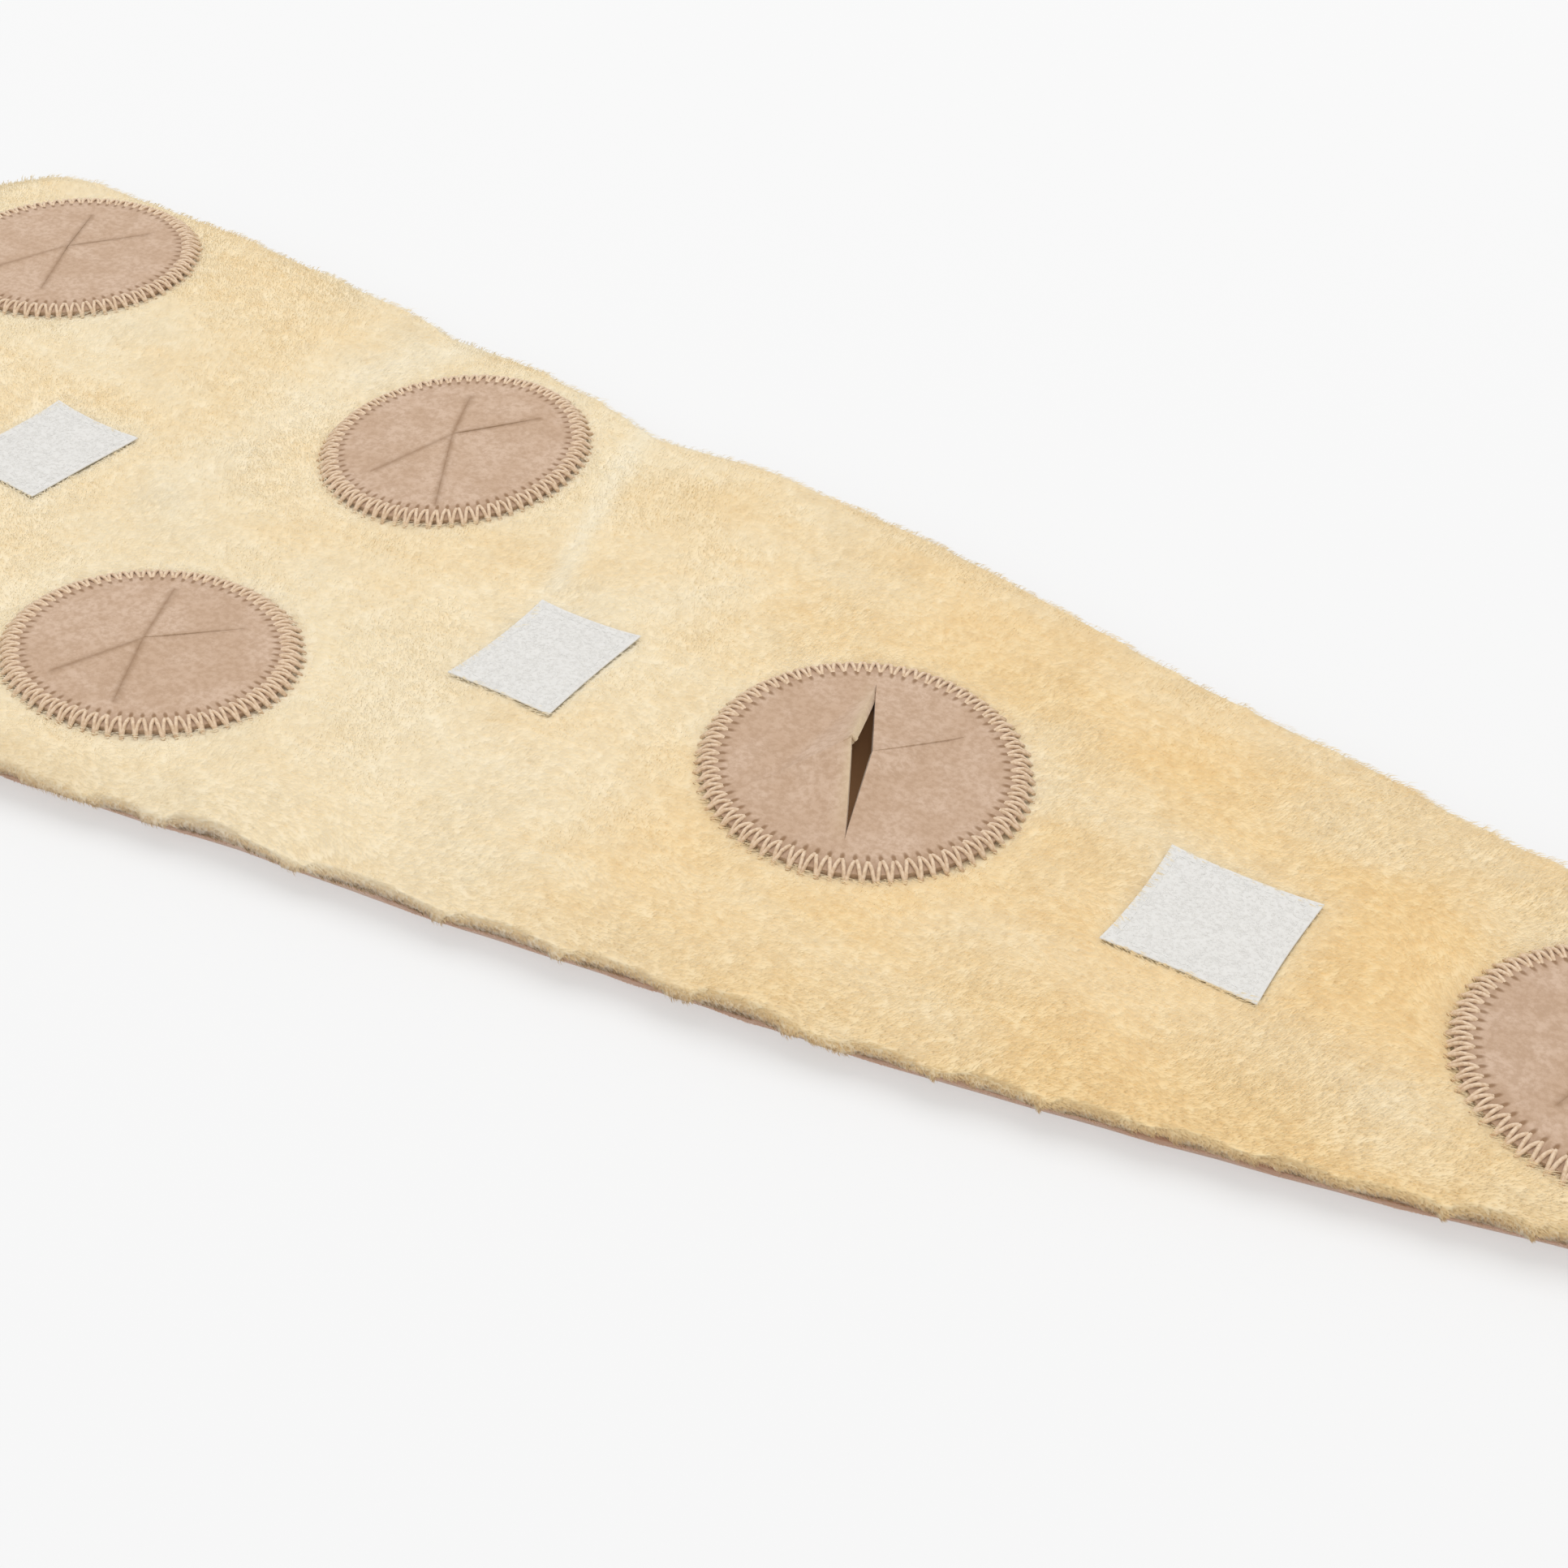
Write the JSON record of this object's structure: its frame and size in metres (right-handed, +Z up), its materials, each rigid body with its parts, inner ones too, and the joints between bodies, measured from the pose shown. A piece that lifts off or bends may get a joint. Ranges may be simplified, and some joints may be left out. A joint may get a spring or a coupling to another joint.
{
  "type": "croissant snuffle toy, unrolled",
  "caption": "Padded plush pet toy, a long triangle lying flat, with slit felt discs over treat pockets and squares of hook-and-loop tape to hold it rolled up.",
  "frame": {"origin": "on the surface that the toy lies on, under the middle of its bounding box", "axes": "+X along the toy to its narrow tip, +Y across it to its far side, +Z up"},
  "size_m": [0.68, 0.2666, 0.0225],
  "materials": {
    "pale_plush": "short soft pile, pale cream with golden mottling",
    "tan_plush": "short soft pile, golden brown",
    "tan_felt": "matt mottled felt, tan, with a zigzag stitched edge",
    "white_tape": "matt loop pile, white, stitched near its edges"
  },
  "bodies": {
    "root": {"face_panel": "pale_plush", "back_panel": "tan_plush", "felt_disc_tip": "tan_felt", "felt_disc_middle": "tan_felt", "felt_disc_far": "tan_felt", "felt_disc_near": "tan_felt", "felt_disc_wide_far": "tan_felt", "felt_disc_wide_near": "tan_felt", "tape_square_tip": "white_tape", "tape_square_middle": "white_tape", "tape_square_wide": "white_tape"}
  },
  "joints": []
}
